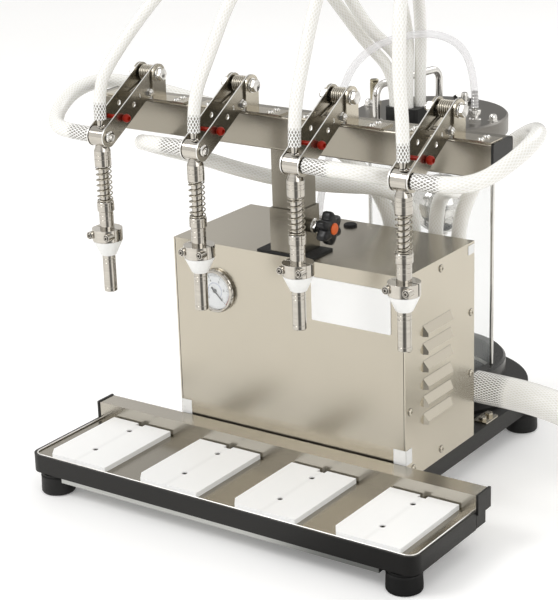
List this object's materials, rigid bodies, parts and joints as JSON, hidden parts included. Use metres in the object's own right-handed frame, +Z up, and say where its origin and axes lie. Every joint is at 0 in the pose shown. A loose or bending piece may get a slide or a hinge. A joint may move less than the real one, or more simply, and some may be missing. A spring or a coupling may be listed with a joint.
{
  "type": "liquid filling machine",
  "caption": "Bench-top vacuum filler with hinged spring nozzles on a sliding mast, a housing with its pump, a drip tray with bottle rests and a glass overflow vessel.",
  "frame": {"origin": "on the floor below the middle of the machine, without its free inlet hose", "axes": "+X to the machine's right as its user sees it, +Y to its back, +Z up"},
  "size_m": [1.0237, 0.746, 0.6547],
  "materials": {
    "black_steel": "satin powder coat",
    "foot_rubber": "matt",
    "aluminium": "satin",
    "stainless": "brushed",
    "polished_steel": "polished",
    "black_plastic": "matt",
    "white_plastic": "matt",
    "dial": "polished",
    "clear_lens": "clear",
    "vessel_glass": "clear",
    "seal": "matt",
    "pump_iron": "painted",
    "braided_hose": "clear with white braid",
    "clear_hose": "clear",
    "lid_metal": "turned",
    "cast_metal": "painted",
    "knob_plastic": "matt with an orange cap",
    "spring_steel": "bright"
  },
  "bodies": {
    "base": {"base_frame": "black_steel", "rubber_feet": "foot_rubber", "tray_support": "aluminium", "drip_tray": "stainless", "tray_trim": "black_steel", "tray_rail": "stainless", "bottle_rests": "white_plastic", "machine_screws": "polished_steel", "housing_shell": "stainless", "side_panels": "stainless", "vacuum_gauge": "dial", "gauge_lens": "clear_lens", "housing_gaskets": "black_plastic", "column_sleeve": "stainless", "vacuum_pump": "pump_iron", "power_inlet": "black_plastic", "feed_manifold": "stainless", "vessel_plate": "cast_metal", "vessel_base": "cast_metal", "vessel_glass": "vessel_glass", "vessel_seals": "seal", "vessel_lid": "lid_metal", "tie_rods": "polished_steel", "lid_handle": "polished_steel", "lid_block": "black_plastic", "lid_fittings": "polished_steel", "vessel_straps": "stainless", "inlet_hose": "braided_hose", "inlet_coil": "braided_hose", "inlet_fitting": "polished_steel", "vacuum_hose": "clear_hose", "feed_hoses": "braided_hose", "return_hoses": "braided_hose"},
    "mast": {"mast": "stainless", "beam": "stainless", "beam_caps": "black_plastic", "spout_brackets": "stainless", "bracket_screws": "polished_steel", "pivot_bolts": "polished_steel"},
    "gauge_pointer": {"gauge_pointer": "black_plastic"},
    "clamp_knob": {"clamp_knob": "knob_plastic"},
    "power_switch": {"power_switch": "black_plastic"},
    "float_ball": {"float_ball": "polished_steel"},
    "wing_nut": {"wing_nut": "polished_steel"},
    "arm_1": {"arms_1": "stainless"},
    "head_1": {"head_1": "stainless", "nozzle_spring_1": "spring_steel"},
    "nozzle_1": {"nozzle_1": "stainless"},
    "arm_2": {"arms_2": "stainless"},
    "head_2": {"head_2": "stainless", "nozzle_spring_2": "spring_steel"},
    "nozzle_2": {"nozzle_2": "stainless"},
    "arm_3": {"arms_3": "stainless"},
    "head_3": {"head_3": "stainless", "nozzle_spring_3": "spring_steel"},
    "nozzle_3": {"nozzle_3": "stainless"},
    "arm_4": {"arms_4": "stainless"},
    "head_4": {"head_4": "stainless", "nozzle_spring_4": "spring_steel"},
    "nozzle_4": {"nozzle_4": "stainless"}
  },
  "joints": [
    {"name": "mast_slide", "type": "slide", "parent": "base", "child": "mast", "axis": [0, 0, 1], "range_m": [-0.06, 0.11], "deforming": ["feed_hoses", "return_hoses"]},
    {"name": "knob_turn", "type": "hinge", "parent": "base", "child": "clamp_knob", "pos_m": [0.04, -0.1, 0.322], "axis": [1, 0, 0], "range_deg": [0, 360]},
    {"name": "pointer_turn", "type": "hinge", "parent": "base", "child": "gauge_pointer", "pos_m": [-0.097, -0.127, 0.232], "axis": [0, -1, 0], "range_deg": [0, 270], "stiffness_Nm_per_rad": 0.00002},
    {"name": "switch_rock", "type": "hinge", "parent": "base", "child": "power_switch", "pos_m": [-0.11, 0.0372, 0.1225], "axis": [0, 0, -1], "range_deg": [0, 12]},
    {"name": "float_rise", "type": "slide", "parent": "base", "child": "float_ball", "axis": [0, 0, 1], "range_m": [0, 0.05]},
    {"name": "wing_nut_turn", "type": "hinge", "parent": "base", "child": "wing_nut", "pos_m": [0.051, 0.1995, 0.4], "axis": [0, 0, 1], "continuous": true},
    {"name": "arm_lift_1", "type": "hinge", "parent": "mast", "child": "arm_1", "pos_m": [-0.1901, -0.111, 0.4769], "axis": [-1, 0, 0], "range_deg": [0, 35], "stiffness_Nm_per_rad": 0.5, "springref_deg": -28.65},
    {"name": "head_swing_1", "type": "hinge", "parent": "arm_1", "child": "head_1", "pos_m": [-0.1901, -0.20179, 0.42278], "axis": [1, 0, 0], "range_deg": [-20, 20]},
    {"name": "nozzle_lift_1", "type": "slide", "parent": "head_1", "child": "nozzle_1", "axis": [0, 0, 1], "range_m": [0, 0.018], "stiffness_N_per_m": 350, "springref_m": -0.02, "deforming": ["nozzle_spring_1"]},
    {"name": "arm_lift_2", "type": "hinge", "parent": "mast", "child": "arm_2", "pos_m": [-0.0587, -0.111, 0.4769], "axis": [-1, 0, 0], "range_deg": [0, 35], "stiffness_Nm_per_rad": 0.5, "springref_deg": -28.65},
    {"name": "head_swing_2", "type": "hinge", "parent": "arm_2", "child": "head_2", "pos_m": [-0.0587, -0.20179, 0.42278], "axis": [1, 0, 0], "range_deg": [-20, 20]},
    {"name": "nozzle_lift_2", "type": "slide", "parent": "head_2", "child": "nozzle_2", "axis": [0, 0, 1], "range_m": [0, 0.018], "stiffness_N_per_m": 350, "springref_m": -0.02, "deforming": ["nozzle_spring_2"]},
    {"name": "arm_lift_3", "type": "hinge", "parent": "mast", "child": "arm_3", "pos_m": [0.0727, -0.111, 0.4769], "axis": [-1, 0, 0], "range_deg": [0, 35], "stiffness_Nm_per_rad": 0.5, "springref_deg": -28.65},
    {"name": "head_swing_3", "type": "hinge", "parent": "arm_3", "child": "head_3", "pos_m": [0.0727, -0.20179, 0.42278], "axis": [1, 0, 0], "range_deg": [-20, 20]},
    {"name": "nozzle_lift_3", "type": "slide", "parent": "head_3", "child": "nozzle_3", "axis": [0, 0, 1], "range_m": [0, 0.018], "stiffness_N_per_m": 350, "springref_m": -0.02, "deforming": ["nozzle_spring_3"]},
    {"name": "arm_lift_4", "type": "hinge", "parent": "mast", "child": "arm_4", "pos_m": [0.2041, -0.111, 0.4769], "axis": [-1, 0, 0], "range_deg": [0, 35], "stiffness_Nm_per_rad": 0.5, "springref_deg": -28.65},
    {"name": "head_swing_4", "type": "hinge", "parent": "arm_4", "child": "head_4", "pos_m": [0.2041, -0.20179, 0.42278], "axis": [1, 0, 0], "range_deg": [-20, 20]},
    {"name": "nozzle_lift_4", "type": "slide", "parent": "head_4", "child": "nozzle_4", "axis": [0, 0, 1], "range_m": [0, 0.018], "stiffness_N_per_m": 350, "springref_m": -0.02, "deforming": ["nozzle_spring_4"]}
  ]
}
